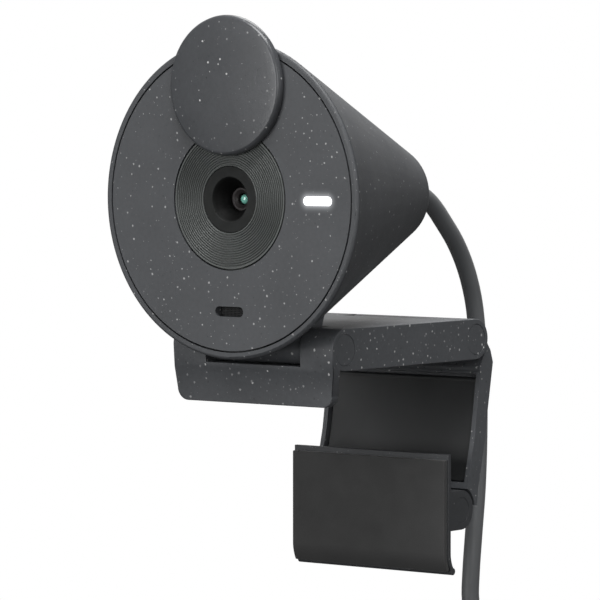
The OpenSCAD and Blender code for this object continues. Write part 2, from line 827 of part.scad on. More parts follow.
module leg_frame() {
    color(graphite) on_leg() difference() {
        union() {
            draw_x(-leg_w / 2, leg_w / 2) leg_side();
            // Upper knuckle with its web
            bar_x(arm_r, -knuckle_w / 2, knuckle_w / 2);
            draw_x(-knuckle_w / 2, knuckle_w / 2) polygon([
                [0, 0], [leg_top_front + 1.2, -0.3], [leg_top_front + 2.4, -4],
                [leg_top_front + 0.4, -5.4], [-0.5, -arm_r + 0.4]
            ]);
            // Lower knuckle with its web
            bar_x(block_d / 2 - 0.4, -heel_w / 2, heel_w / 2, 0, -leg_len);
            draw_x(-heel_w / 2, heel_w / 2) polygon([
                [0, -leg_len], [leg_foot_front, leg_foot_z + 0.3], [leg_foot_front + leg_t, leg_foot_z + 0.3],
                [leg_foot_front + 2.4, -leg_len + 0.5], [block_d / 2 - 0.5, -leg_len]
            ]);
        }
        bar_x(pin_d / 2 + pin_gap, -leg_w, leg_w);
        bar_x(foot_pin_d / 2 + pin_gap, -leg_w, leg_w, 0, -leg_len);
        // Recess for the panel, with a groove above it
        draw_x(-leg_w / 2 + rim_leg, leg_w / 2 - rim_leg)
            panel_side(panel_top + panel_groove, panel_base - 0.1, panel_t + panel_sink, 3);
    }
}

// A slab that follows the leg's front face, from z1 down to z2, set in by deep
module panel_side(z1, z2, deep, proud) {
    mid_z = -leg_len / 2 - 2;
    slope_1 = 0.3 / (4.4 + mid_z);
    slope_2 = (leg_top_front - 0.3 - leg_foot_front) / (mid_z - leg_foot_z);
    y_1 = leg_top_front + (z1 + 4.4) * -slope_1;
    y_m = leg_top_front - 0.3;
    y_2 = leg_foot_front + (z2 - leg_foot_z) * slope_2;
    polygon([
        [y_1 - proud, z1], [y_1 + deep, z1], [y_m + deep, mid_z], [y_2 + deep, z2],
        [y_2 - proud, z2], [y_m - proud, mid_z]
    ]);
}

module leg_panel() {
    side = rim_leg + panel_gap;
    color(dark_plastic) on_leg() {
        draw_x(-leg_w / 2 + side, leg_w / 2 - side)
            panel_side(panel_top, panel_base + 0.15, panel_t + panel_sink, -panel_sink);
        bar_x(0.45, -leg_w / 2 + side, leg_w / 2 - side,
            leg_top_front + panel_sink + 0.3, panel_top);
    }
}

// ---- foot ----

// Side outline of a sheet of the foot, between two distances forward of the pivot
module foot_sheet(y_front, y_back, top, turn) {
    centre_y = -plate_set - plate_t + curl_r;
    translate([y_front, -foot_down]) square([y_back - y_front, top + foot_down]);
    translate([centre_y, -foot_down]) intersection() {
        difference() {
            circle(r = centre_y - y_front);
            circle(r = centre_y - y_back);
        }
        polygon([[0, 0], [-20, 0], [-20, -20 * tan(turn)]]);
    }
}

module foot_bracket() {
    ear_out = foot_w / 2 - 0.1;
    color(graphite) on_foot() difference() {
        union() {
            draw_x(-foot_w / 2, foot_w / 2)
                foot_sheet(-plate_set - plate_t, -plate_set, foot_up, bead_angle);
            // Bead along the end of the curl
            bead_out = curl_r - plate_t / 2;
            bar_x(bead_r, -foot_w / 2, foot_w / 2, -plate_set - plate_t + curl_r
                - bead_out * cos(bead_angle), -foot_down - bead_out * sin(bead_angle));
            both_sides() {
                bar_x(block_d / 2, foot_ear_in, ear_out);
                draw_x(foot_ear_in, ear_out) translate([-plate_set - 0.1, -block_d / 2])
                    square([plate_set + 0.1, block_d]);
            }
        }
        bar_x(foot_pin_d / 2 + set_gap, -foot_w, foot_w);
        both_sides() bar_x(foot_cap_d / 2 + set_gap, ear_out - cap_t, foot_w);
    }
}

module foot_pad() {
    color(rubber) on_foot() draw_x(-foot_w / 2 + pad_side, foot_w / 2 - pad_side)
        foot_sheet(-plate_set - plate_t - pad_t, -plate_set - plate_t, foot_up - pad_margin, curl_angle);
}

module foot_pin() {
    half = foot_w / 2 - 0.1 - cap_t - 0.1;
    color(steel) on_foot() bar_x(foot_pin_d / 2, -half, half);
}

module foot_caps() {
    ear_out = foot_w / 2 - 0.1;
    color(graphite) on_foot() both_sides() bar_x(foot_cap_d / 2, ear_out - cap_t, ear_out - 0.05);
}

// ---- cable and plug ----

module cable_run() {
    color(rubber) tube_along(run_points, cable_d);
}

module cable_tail() {
    color(rubber) tube_along(tail_points, cable_d);
}

module coil_section(grow) {
    deep = coil_turns_deep * cable_d / 2 + grow;
    wide = coil_turns_wide * cable_d / 2 + grow;
    translate([coil_d / 2 - deep, -wide]) square([2 * deep, 2 * wide]);
}

module cable_coil() {
    color(rubber) translate([0, coil_y, coil_z]) rotate([-90, 0, 0]) rotate_extrude() coil_section(0);
}

module coil_tie() {
    deep = coil_turns_deep * cable_d + 0.1;
    wide = coil_turns_wide * cable_d + 0.1;
    color("dimgray") translate([-tie_l / 2, coil_y, coil_z + coil_d / 2]) difference() {
        translate([0, -wide / 2 - tie_t, -deep / 2 - 1.2]) cube([tie_l, wide + 2 * tie_t, deep + 2.1]);
        translate([-1, -wide / 2, -deep / 2 - 0.4]) cube([tie_l + 2, wide, deep + 0.4]);
    }
}

module plug_boot() {
    color(rubber) translate([plug_x, plug_y, plug_z - plug_boot_l])
        cylinder(r1 = cable_d / 2 + 1.2, r2 = cable_d / 2 + 0.4, h = plug_boot_l);
}

module plug_grip() {
    color(dark_plastic) translate([plug_x, plug_y, plug_z - plug_boot_l - grip_len])
        linear_extrude(height = grip_len) pill(grip_w, grip_t);
}

module plug_shell() {
    color(steel) translate([plug_x, plug_y, plug_z - plug_boot_l - grip_len - shell_l]) difference() {
        linear_extrude(height = shell_l) pill(shell_w, shell_t);
        translate([0, 0, -1]) linear_extrude(height = shell_l) pill(shell_w - 0.6, shell_t - 0.6);
    }
}

// A flat outline with round ends
module pill(w, t) {
    square([w - t, t], center = true);
    translate([(w - t) / 2, 0]) circle(d = t);
    translate([-(w - t) / 2, 0]) circle(d = t);
}

rear_shell();
face_plate();
bond_ring();
lens_ring();
lens_hood();
lens_barrel();
front_glass();
rear_glass();
lens_holder();
infrared_filter();
image_sensor();
camera_board();
board_screws();
board_spacers();
main_board();
shield_can();
cable_connector();
inner_lead();
led_window();
led_chip();
led_board();
mic_mesh();
mic_gasket();
microphone();
mic_board();
privacy_disc();
shutter_pin();
shutter_washer();
shutter_clip();
tilt_neck();
neck_screws();
cable_boot();
clip_bracket();
lip_pad();
seat_pad();
tilt_pin();
tilt_washers();
pin_caps();
leg_pin();
leg_frame();
leg_panel();
foot_bracket();
foot_pad();
foot_pin();
foot_caps();
cable_run();
cable_coil();
cable_tail();
coil_tie();
plug_boot();
plug_grip();
plug_shell();
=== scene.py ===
# %% [markdown]
# # A desk webcam on its monitor clip
# The webcam's frame comes from a CAD model: every hard piece is already there at its real size, in
# its real place. This notebook gives the pieces their looks. It adds what CAD leaves plain, such as
# the cable, the softened edges and the fine print of each surface, and it never moves a CAD piece.

# %% Load the frame
import json
import math
import bmesh
import bpy
from mathutils import Matrix, Vector

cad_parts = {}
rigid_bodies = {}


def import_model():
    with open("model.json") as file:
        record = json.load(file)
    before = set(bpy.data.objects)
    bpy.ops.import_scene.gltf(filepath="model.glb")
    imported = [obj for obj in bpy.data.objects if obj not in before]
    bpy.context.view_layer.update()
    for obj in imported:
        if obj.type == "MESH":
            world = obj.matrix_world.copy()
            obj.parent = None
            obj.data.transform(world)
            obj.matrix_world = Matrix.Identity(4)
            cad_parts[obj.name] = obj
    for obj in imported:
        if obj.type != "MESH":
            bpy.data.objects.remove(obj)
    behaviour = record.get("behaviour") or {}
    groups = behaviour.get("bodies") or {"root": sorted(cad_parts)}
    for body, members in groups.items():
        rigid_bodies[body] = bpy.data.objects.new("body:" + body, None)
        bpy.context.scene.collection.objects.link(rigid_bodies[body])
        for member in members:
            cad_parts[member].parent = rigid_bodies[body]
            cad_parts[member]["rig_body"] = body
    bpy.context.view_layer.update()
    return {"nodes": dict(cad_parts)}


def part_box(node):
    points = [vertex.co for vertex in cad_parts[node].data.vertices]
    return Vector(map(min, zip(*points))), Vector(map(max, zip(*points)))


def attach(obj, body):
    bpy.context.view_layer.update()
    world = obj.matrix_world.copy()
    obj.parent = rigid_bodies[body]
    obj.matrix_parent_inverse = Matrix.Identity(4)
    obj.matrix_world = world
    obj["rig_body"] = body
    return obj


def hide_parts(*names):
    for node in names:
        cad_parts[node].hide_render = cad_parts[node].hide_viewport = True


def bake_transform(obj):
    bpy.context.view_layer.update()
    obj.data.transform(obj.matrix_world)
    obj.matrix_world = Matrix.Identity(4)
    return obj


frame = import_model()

MM = 0.001
nodes = frame["nodes"]

# %% [markdown]
# ## The camera
# A long lens flattens a small object in the way a product picture does. The camera stands about
# two thirds of a metre away, a tenth of a turn to the side and a little above the lens axis, and it
# aims at a point between the head and the clip. Azimuth, elevation and distance are easier to read
# and to change than a matrix, so the matrix is worked out from them.

# %% Camera
AZIMUTH, ELEVATION = math.radians(37.55), math.radians(2.94)
DISTANCE = 670.9 * MM
LENS_MM = 243.5
face_low, face_high = (Vector(c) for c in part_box("face_plate"))
lens_z = (face_low.z + face_high.z) / 2
face_y = face_low.y
aim = Vector((9.8 * MM, face_y + 6.5 * MM, lens_z - 16.6 * MM))

def camera_axes(azimuth, elevation):
    back = Vector((math.sin(azimuth) * math.cos(elevation),
                   -math.cos(azimuth) * math.cos(elevation), math.sin(elevation)))
    right = Vector((math.cos(azimuth), math.sin(azimuth), 0))
    return right, back.cross(right), back

right, up, back = camera_axes(AZIMUTH, ELEVATION)
camera_data = bpy.data.cameras.new("camera")
camera_data.lens = LENS_MM
camera_data.sensor_width = 36
camera_data.clip_start, camera_data.clip_end = 0.01, 20
camera = bpy.data.objects.new("camera", camera_data)
camera.matrix_world = Matrix((
    (right.x, up.x, back.x, 0), (right.y, up.y, back.y, 0), (right.z, up.z, back.z, 0), (0, 0, 0, 1)))
camera.location = aim + back * DISTANCE
bpy.context.collection.objects.link(camera)
bpy.context.scene.camera = camera
print("camera at", [round(v, 3) for v in camera.location])

# %% [markdown]
# ## The cable's route
# A cable is a fixed length of something flexible, so its facts come before its shape: 1.47 m long,
# 3.2 mm thick, out of the back of the head, down behind the leg, and a plug on its far end. The
# first stretch follows listed points, smoothed by a spline that passes through each of them.
# The rest is wound into a neat coil: each turn lies in its own slot, four slots wide and three
# deep, and moves over to the next slot while its neighbour has already made room for it.

# %% Route of the cable
CABLE_D = 3.2 * MM
RUN_POINTS = [
    (0, 23.1, 28.6), (0, 24.6, 28.6), (0, 27.5, 27.7), (0, 30.3, 25.8), (0, 33, 23.3), (0, 36.3, 20),
    (0, 39.1, 16.2), (0, 41.2, 12.1), (0, 42.7, 7.4), (0, 43.6, 1), (0, 44, -7), (0, 44, -16),
    (0, 43.5, -25), (0, 42.5, -33), (0, 41.7, -40), (0, 41.6, -45), (1, 42, -49.9), (3.8, 42.7, -54),
    (9.5, 43.8, -59.8), (15.8, 44.8, -66.2)]
TAIL_POINTS = [(22.4, 35.2, -82), (22.4, 35.2, -89), (22.4, 35.2, -96)]
COIL_CENTRE = Vector((0, 40, -82)) * MM
COIL_R = 19.2 * MM
TURNS_WIDE, TURNS_DEEP = 4, 3
START_ANGLE, END_ANGLE = 45, 90
STEPS_PER_TURN = 48

def through_points(points, steps):
    """Catmull-Rom spline through the points, as a list of points."""
    ends = [points[0] * 2 - points[1]] + points + [points[-1] * 2 - points[-2]]
    line = []
    for p0, p1, p2, p3 in zip(ends, ends[1:], ends[2:], ends[3:]):
        for k in range(steps):
            t = k / steps
            line.append(0.5 * (2 * p1 + (p2 - p0) * t + (2 * p0 - 5 * p1 + 4 * p2 - p3) * t * t
                               + (3 * p1 - p0 - 3 * p2 + p3) * t ** 3))
    return line + [points[-1].copy()]

def coil_slots():
    """(radius, y offset) of each slot of the winding, back and forth through the bundle."""
    slots = []
    for column in range(TURNS_WIDE):
        order = range(TURNS_DEEP) if column % 2 == 0 else range(TURNS_DEEP - 1, -1, -1)
        for layer in order:
            slots.append((COIL_R + (1 - layer) * CABLE_D, ((TURNS_WIDE - 1) / 2 - column) * CABLE_D))
    return slots

def coil_line():
    slots = coil_slots()
    last = len(slots) - 1
    shift = 360 / len(slots)
    total = last * STEPS_PER_TURN + round((END_ANGLE - START_ANGLE) / 360 * STEPS_PER_TURN)
    line = []
    for step in range(1, total):
        turn, into = divmod(step * 360 / STEPS_PER_TURN, 360)
        turn = int(turn)
        move = min(1, max(0, (into - (last - turn) * shift) / shift)) if turn < last else 0
        move = move * move * (3 - 2 * move)
        here, there = slots[turn], slots[min(turn + 1, last)]
        radius = here[0] + (there[0] - here[0]) * move
        offset = here[1] + (there[1] - here[1]) * move
        angle = math.radians(START_ANGLE + into)
        line.append(COIL_CENTRE + Vector((radius * math.sin(angle), offset, radius * math.cos(angle))))
    return line

run_line = through_points([Vector(p) * MM for p in RUN_POINTS], 4)
tail_line = through_points([Vector(p) * MM for p in TAIL_POINTS], 4)
cable_line = run_line + coil_line() + tail_line

# %% [markdown]
# ## Mesh helpers
# A CAD mesh comes as loose triangles with knife-sharp edges, and no moulded part has those: the
# edges of a real one are rounded a little, and that round is what catches the light. A copy of the
# mesh is welded together, its flat faces are made whole, and a small bevel and weighted normals
# round it. The copy then stands for its CAD node, which stays in place for the motion.

# %% Mesh helpers
SHARP_EDGE = math.radians(32)
FLAT_WITHIN = math.radians(0.4)
WELD_WITHIN = 0.003 * MM
TIGHT_SHARE = 0.2

def new_object(name, mesh):
    made = bpy.data.objects.new(name, mesh)
    bpy.context.collection.objects.link(made)
    return made

def keep_result(obj):
    """Turns an object with modifiers into a plain mesh."""
    graph = bpy.context.evaluated_depsgraph_get()
    mesh = bpy.data.meshes.new_from_object(
        obj.evaluated_get(graph), preserve_all_data_layers=True, depsgraph=graph)
    obj.modifiers.clear()
    obj.data = mesh
    return obj

def welded_copy(node):
    """A copy of a CAD node's mesh with its triangles joined and its flat faces whole."""
    mesh = nodes[node].data.copy()
    edit = bmesh.new()
    edit.from_mesh(mesh)
    bmesh.ops.remove_doubles(edit, verts=edit.verts, dist=WELD_WITHIN)
    bmesh.ops.dissolve_limit(
        edit, angle_limit=FLAT_WITHIN, verts=edit.verts, edges=edit.edges)
    edit.to_mesh(mesh)
    edit.free()
    mesh.materials.clear()
    return mesh

def dress(obj, body, slot, material, *replaced):
    """Paints a piece, seats it on its body and hides the CAD nodes it stands for."""
    obj.data.materials.clear()
    obj.data.materials.append(material)
    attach(obj, body)
    if replaced:
        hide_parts(*replaced)
    return obj

def weigh_edges(mesh, tight, share):
    """Marks the sharp edges for rounding: in full, or by a share of it where tight(point) says so."""
    edit = bmesh.new()
    edit.from_mesh(mesh)
    weight = edit.edges.layers.float.new("bevel_weight_edge")
    for edge in edit.edges:
        if len(edge.link_faces) == 2 and edge.calc_face_angle(0) > SHARP_EDGE:
            close = tight and all(tight(vertex.co) for vertex in edge.verts)
            edge[weight] = share if close else 1.0
    edit.to_mesh(mesh)
    edit.free()

def softened(node, edge_mm, slot, material, tight=None):
    """A rounded copy of one CAD node, riding on the same body."""
    piece = new_object(node + "_moulded", welded_copy(node))
    piece.data.shade_smooth()
    piece.data.set_sharp_from_angle(angle=SHARP_EDGE)
    weigh_edges(piece.data, tight, TIGHT_SHARE)
    bevel = piece.modifiers.new("round", "BEVEL")
    bevel.width = edge_mm * MM
    bevel.segments = 3
    bevel.limit_method = "WEIGHT"
    bevel.use_clamp_overlap = True
    weights = piece.modifiers.new("weights", "WEIGHTED_NORMAL")
    weights.keep_sharp = False
    keep_result(piece)
    return dress(piece, nodes[node]["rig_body"], slot, material, node)

# %% [markdown]
# ## Material helpers
# Every finish here is worked out from the place of a point on the piece, in metres, so a pattern
# keeps its real size wherever it lies. Three building blocks do most of the work: soft noise for
# the unevenness of a moulding, fine noise for its grain, and scattered cells for flecks.

# %% Material helpers
def add(tree, kind, inputs=None, **settings):
    """Adds a node, sets its options, then sets or links its inputs."""
    made = tree.nodes.new(kind)
    for option, value in settings.items():
        setattr(made, option, value)
    for socket, value in (inputs or {}).items():
        if isinstance(value, bpy.types.NodeSocket):
            tree.links.new(value, made.inputs[socket])
        else:
            made.inputs[socket].default_value = value
    return made

def grey(level, tint=(1, 1, 1)):
    return (level * tint[0], level * tint[1], level * tint[2], 1)

def start_material(name, **values):
    """A new material with values set on its shader; returns it, its tree and its coordinates."""
    material = bpy.data.materials.new(name)
    material.use_nodes = True
    shader = material.node_tree.nodes["Principled BSDF"]
    for socket, value in values.items():
        shader.inputs[socket.replace("_", " ")].default_value = value
    coords = add(material.node_tree, "ShaderNodeTexCoord").outputs["Object"]
    return material, material.node_tree, coords

def noise(tree, coords, size_mm, detail=3):
    return add(tree, "ShaderNodeTexNoise", {
        "Vector": coords, "Scale": 1 / (size_mm * MM), "Detail": detail}).outputs["Fac"]

def spread(tree, value, low, high, start=0.3, end=0.7):
    """Maps a value from start..end to low..high."""
    return add(tree, "ShaderNodeMapRange", {
        "Value": value, "From Min": start, "From Max": end, "To Min": low, "To Max": high
    }).outputs["Result"]

def mix(tree, factor, first, second):
    return add(tree, "ShaderNodeMix", {0: factor, 6: first, 7: second}, data_type="RGBA").outputs[2]

def math_node(tree, operation, first, second):
    return add(tree, "ShaderNodeMath", {0: first, 1: second}, operation=operation).outputs[0]

def flecks(tree, coords, cell_mm, radius_mm, shift):
    """Grains scattered through the plastic: 1 inside a grain, faded at its edge, 0 outside."""
    moved = add(tree, "ShaderNodeMapping", {"Vector": coords, "Location": (shift, shift, 0)})
    bent = add(tree, "ShaderNodeTexNoise", {"Vector": moved.outputs[0], "Scale": 1 / (0.4 * MM)})
    warp = add(tree, "ShaderNodeVectorMath", {
        0: bent.outputs["Color"], 1: (radius_mm * MM,) * 3}, operation="MULTIPLY")
    place = add(tree, "ShaderNodeVectorMath", {0: moved.outputs[0], 1: warp.outputs[0]})
    cells = add(tree, "ShaderNodeTexVoronoi", {
        "Vector": place.outputs[0], "Scale": 1 / (cell_mm * MM)})
    random = add(tree, "ShaderNodeSeparateColor", {"Color": cells.outputs["Color"]})
    largest = radius_mm / cell_mm
    reach = spread(tree, random.outputs[0], largest * 0.3, largest, 0, 1)
    core = math_node(tree, "MULTIPLY", reach, 0.6)
    inside = spread(tree, cells.outputs["Distance"], 1, 0, core, reach)
    return math_node(tree, "MULTIPLY", inside, spread(tree, random.outputs[1], 0.25, 1, 0, 1))

def finish_material(tree, colour, roughness, *bumps):
    """Links colour and roughness to the shader, and stacks (height, depth in mm) bumps."""
    shader = tree.nodes["Principled BSDF"]
    tree.links.new(colour, shader.inputs["Base Color"])
    tree.links.new(roughness, shader.inputs["Roughness"])
    normal = None
    for height, depth_mm in bumps:
        inputs = {"Height": height, "Distance": depth_mm * MM, "Strength": 1.0}
        if normal:
            inputs["Normal"] = normal
        normal = add(tree, "ShaderNodeBump", inputs).outputs["Normal"]
    if normal:
        tree.links.new(normal, shader.inputs["Normal"])

print("material helpers ready")

# %% [markdown]
# ## Speckled recycled plastic
# The casing is moulded from recycled plastic, dark grey with pale flecks and a few darker ones all
# through it. Flecks from three-dimensional cells cut the surface at random heights, so they come
# out as dots of many sizes, just as grains in the real material do. A fine spark-eroded grain keeps
# the surface matt, and slow changes in roughness stand for handling. The foot is darker, with fewer
# flecks. On the face, a faint glow is painted round the lit window: the plastic there gives off light.

# %% Speckled plastic
PALE_CELL_MM, FINE_CELL_MM, DARK_CELL_MM = 1.35, 0.8, 1.6
GLOW_HALF_LENGTH = 2 * MM
GLOW_FROM, GLOW_TO = 0.7 * MM, 2.6 * MM
GLOW_STRENGTH = 0.4

def add_painted_glow(tree, coords, centre):
    """Painted glow round a window with its middle at centre: the plastic itself gives off light, full at
    GLOW_FROM, gone at GLOW_TO.
    """
    shader = tree.nodes["Principled BSDF"]
    away = add(tree, "ShaderNodeVectorMath", {0: coords, 1: centre}, operation="SUBTRACT")
    offset = add(tree, "ShaderNodeSeparateXYZ", {0: away.outputs[0]}).outputs
    side = math_node(tree, "ABSOLUTE", offset["X"], 0.0)
    side = math_node(tree, "SUBTRACT", side, GLOW_HALF_LENGTH)
    side = math_node(tree, "MAXIMUM", side, 0.0)
    flat = add(tree, "ShaderNodeCombineXYZ", {"X": side, "Z": offset["Z"]}).outputs[0]
    reach = add(tree, "ShaderNodeVectorMath", {0: flat}, operation="LENGTH").outputs["Value"]
    near = spread(tree, reach, 1, 0, GLOW_FROM, GLOW_TO)
    shader.inputs["Emission Color"].default_value = (0.95, 0.97, 1, 1)
    # painted glow: the plastic gives off light, strongest next to the window
    strength = math_node(tree, "MULTIPLY", math_node(tree, "POWER", near, 4.0), GLOW_STRENGTH)
    tree.links.new(strength, shader.inputs["Emission Strength"])

def speckled_plastic(name, level, roughness, busy=1.0, fleck_mm=0.24, tint=(0.95, 1, 1.08), glow=None):
    material, tree, coords = start_material(name, Specular_IOR_Level=0.42)
    mottle = spread(tree, noise(tree, coords, 9, 4), 0.93, 1.07)
    dusty = spread(tree, noise(tree, coords, 0.7, 2), 0.94, 1.06)
    tone = math_node(tree, "MULTIPLY", mottle, dusty)
    base = add(tree, "ShaderNodeVectorMath", {0: grey(level, tint)[:3], 1: tone}, operation="MULTIPLY")
    pale = flecks(tree, coords, PALE_CELL_MM, fleck_mm, 0.0)
    fine = flecks(tree, coords, FINE_CELL_MM, fleck_mm / 2, 0.031)
    dark = flecks(tree, coords, DARK_CELL_MM, fleck_mm, 0.057)
    colour = mix(tree, math_node(tree, "MULTIPLY", pale, busy), base.outputs[0], grey(0.5))
    colour = mix(tree, math_node(tree, "MULTIPLY", fine, busy / 2), colour, grey(0.35))
    colour = mix(tree, math_node(tree, "MULTIPLY", dark, busy * 0.8), colour, grey(0.012))
    handled = spread(tree, noise(tree, coords, 14, 3), roughness - 0.05, roughness + 0.06)
    grain = noise(tree, coords, 0.16, 2)
    finish_material(tree, colour, handled, (grain, 0.012), (noise(tree, coords, 2.5, 2), 0.01))
    # the face plate gets a painted glow round the lit window
    if glow:
        add_painted_glow(tree, coords, glow)
    return material

led_low, led_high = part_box("led_window")
led_centre = ((led_low.x + led_high.x) / 2, face_y, lens_z)
face_finish = speckled_plastic("face_plastic", 0.052, 0.5, glow=led_centre)
shell_finish = speckled_plastic("shell_plastic", 0.05, 0.5, busy=0.75)
disc_finish = speckled_plastic("disc_plastic", 0.05, 0.31)
clip_finish = speckled_plastic("clip_plastic", 0.064, 0.46, fleck_mm=0.3)
foot_finish = speckled_plastic("foot_plastic", 0.034, 0.5, busy=0.35)
print("speckled finishes:", [m.name for m in (face_finish, shell_finish, disc_finish, clip_finish)])

# %% [markdown]
# ## Plain dark plastics and rubber
# The lens trim, the inlay of the leg and the plug are an unfilled dark plastic with a satin skin,
# from the grey of the trim to the near black of the inlay. The lens funnel is matt, and painted shade
# darkens it to near black below the face; the barrel behind it is faintly warm. Rubber scatters light
# more softly and holds a little dust, so it gets some sheen. The cable's jacket is a lighter grey of that
# kind.

# %% Dark plastics and rubber
def satin_plastic(name, level, roughness, shine=0.45, grain_mm=0.12, tint=(1, 1, 1)):
    material, tree, coords = start_material(name, Specular_IOR_Level=shine)
    tone = spread(tree, noise(tree, coords, 6, 3), level * 0.88, level * 1.12)
    base = add(tree, "ShaderNodeVectorMath", {0: tint, 1: tone}, operation="MULTIPLY").outputs[0]
    handled = spread(tree, noise(tree, coords, 8, 4), roughness - 0.05, roughness + 0.07)
    finish_material(tree, base, handled, (noise(tree, coords, grain_mm, 2), 0.006))
    return material

def shade_painted_plastic(name, level, roughness):
    """Matt plastic with painted shade that darkens it to near black below the face."""
    material, tree, coords = start_material(name, Specular_IOR_Level=0.12)
    depth = add(tree, "ShaderNodeSeparateXYZ", {0: coords}).outputs["Y"]
    # painted shade: the colour falls to 0.12 of its level from 0.2 to 0.9 mm below the face
    painted_shade = spread(tree, depth, level, level * 0.12, face_y + 0.2 * MM, face_y + 0.9 * MM)
    tone = math_node(tree, "MULTIPLY", painted_shade, spread(tree, noise(tree, coords, 2, 3), 0.85, 1.15))
    base = add(tree, "ShaderNodeVectorMath", {0: (0.95, 1, 0.98), 1: tone}, operation="MULTIPLY")
    rubbed = spread(tree, noise(tree, coords, 3, 3), roughness - 0.05, roughness + 0.05)
    finish_material(tree, base.outputs[0], rubbed, (noise(tree, coords, 0.1, 2), 0.006))
    return material

def soft_rubber(name, level, roughness, tint=(1, 1, 1)):
    material, tree, coords = start_material(
        name, Specular_IOR_Level=0.3, Sheen_Weight=0.12, Sheen_Roughness=0.5)
    tone = spread(tree, noise(tree, coords, 7, 4), level * 0.94, level * 1.06)
    base = add(tree, "ShaderNodeVectorMath", {0: tint, 1: tone}, operation="MULTIPLY").outputs[0]
    dust = flecks(tree, coords, 2.3, 0.05, 0.02)
    colour = mix(tree, math_node(tree, "MULTIPLY", dust, 0.25), base, grey(0.3))
    rubbed = spread(tree, noise(tree, coords, 5, 5), roughness - 0.08, roughness + 0.08)
    finish_material(tree, colour, rubbed, (noise(tree, coords, 0.3, 3), 0.012))
    return material

trim_finish = satin_plastic("trim_plastic", 0.075, 0.38, tint=(0.93, 1, 0.97))
black_finish = satin_plastic("black_plastic", 0.022, 0.45)
panel_finish = satin_plastic("panel_plastic", 0.015, 0.5, tint=(0.95, 1, 1.05))
rubber_finish = soft_rubber("soft_rubber", 0.026, 0.62)
hood_finish = shade_painted_plastic("hood_plastic", 0.016, 0.6)
barrel_finish = satin_plastic("barrel_plastic", 0.018, 0.5, shine=0.3, tint=(1.15, 0.95, 0.98))
jacket_finish = soft_rubber("cable_jacket", 0.085, 0.45, tint=(0.96, 1, 1.04))
print("dark finishes:", [m.name for m in (trim_finish, hood_finish, black_finish, rubber_finish)])

# %% [markdown]
# ## Metal, boards and glass
# Metal parts are steel pins and screws, drawn and turned, so fine scratches run round or along
# them. Boards are green lacquer over copper tracks. These sit inside and show only when the webcam
# is opened, but a finish costs little, and the part can then be shown in pieces.

# %% Metal, boards and glass
def drawn_metal(name, colour, roughness):
    material, tree, coords = start_material(name, Metallic=1.0)
    stretched = add(tree, "ShaderNodeMapping", {"Vector": coords, "Scale": (0.1, 1, 1)}).outputs[0]
    lines = noise(tree, stretched, 0.12, 3)
    tone = mix(tree, lines, colour, tuple(c * 0.8 for c in colour[:3]) + (1,))
    finish_material(tree, tone, spread(tree, lines, roughness - 0.08, roughness + 0.1), (lines, 0.003))
    return material

def lacquered_board(name):
    material, tree, coords = start_material(name, Coat_Weight=0.5, Coat_Roughness=0.15)
    cells = add(tree, "ShaderNodeTexVoronoi", {"Vector": coords, "Scale": 1 / (1.6 * MM)},
                distance="CHEBYCHEV", feature="F1")
    tracks = spread(tree, cells.outputs["Distance"], 0, 1, 0.36, 0.4)
    colour = mix(tree, tracks, (0.01, 0.09, 0.035, 1), (0.025, 0.19, 0.07, 1))
    finish_material(tree, colour, spread(tree, noise(tree, coords, 3, 2), 0.35, 0.5), (tracks, 0.03))
    return material

def milky_plastic(name, strength):
    material, tree, coords = start_material(name, Emission_Color=(0.97, 0.985, 1, 1))
    tone = mix(tree, noise(tree, coords, 2, 2), grey(0.72), grey(0.8))
    finish_material(tree, tone, spread(tree, noise(tree, coords, 1, 2), 0.3, 0.45))
    tree.nodes["Principled BSDF"].inputs["Emission Strength"].default_value = strength
    return material

def glint_painted_glass(name):
    """Dark glass with a painted green-blue glint in the middle of each lens, for the reflection of its
    coating.
    """
    material, tree, coords = start_material(
        name, Coat_Weight=1.0, Coat_Roughness=0.02, IOR=1.5, Specular_IOR_Level=0.8)
    away = add(tree, "ShaderNodeVectorMath", {
        0: coords, 1: (0.1 * MM, 0, lens_z - 0.05 * MM)}, operation="SUBTRACT").outputs[0]
    across = add(tree, "ShaderNodeVectorMath", {0: away, 1: (1, 0, 1)}, operation="MULTIPLY").outputs[0]
    radius = add(tree, "ShaderNodeVectorMath", {0: across}, operation="LENGTH").outputs["Value"]
    # painted glint: pale green-blue colour near the lens axis, fading out between 0.55 and 0.85 mm
    painted_glint = spread(tree, radius, 1, 0, 0.55 * MM, 0.85 * MM)
    colour = mix(tree, painted_glint, grey(0.004), (0.2, 0.55, 0.45, 1))
    finish_material(tree, colour, spread(tree, noise(tree, coords, 1, 2), 0.03, 0.06))
    return material

steel_finish = drawn_metal("drawn_steel", (0.62, 0.62, 0.63, 1), 0.3)
brass_finish = drawn_metal("gold_brass", (0.75, 0.53, 0.2, 1), 0.28)
board_finish = lacquered_board("board_lacquer")
chip_finish = satin_plastic("chip_resin", 0.02, 0.5)
lit_finish = milky_plastic("lit_window", 1.6)
white_finish = milky_plastic("white_plastic", 0.0)
glass_finish = glint_painted_glass("lens_glass")
print("other finishes:", [m.name for m in (steel_finish, brass_finish, board_finish, glass_finish)])

# %% [markdown]
# ## The moulded pieces
# Each visible hard piece becomes a softened copy. How round its edges are depends on the
# piece: 0.06 mm on the face plate, whose edge has to stay crisp beside the gap, and 0.2 to 0.3 mm on
# the clip, which is held in the hand. Edges close to a hinge pin are rounded less. Pieces inside keep
# their CAD shape and only get their finish.

# %% Moulded pieces
def near_pins(names, reach_mm):
    """A test for points close to the axis of any of the named pins, seen along X."""
    axes = [sum(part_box(name), Vector()) / 2 for name in names]
    return lambda p: any(math.hypot(p.y - a.y, p.z - a.z) < reach_mm * MM for a in axes)

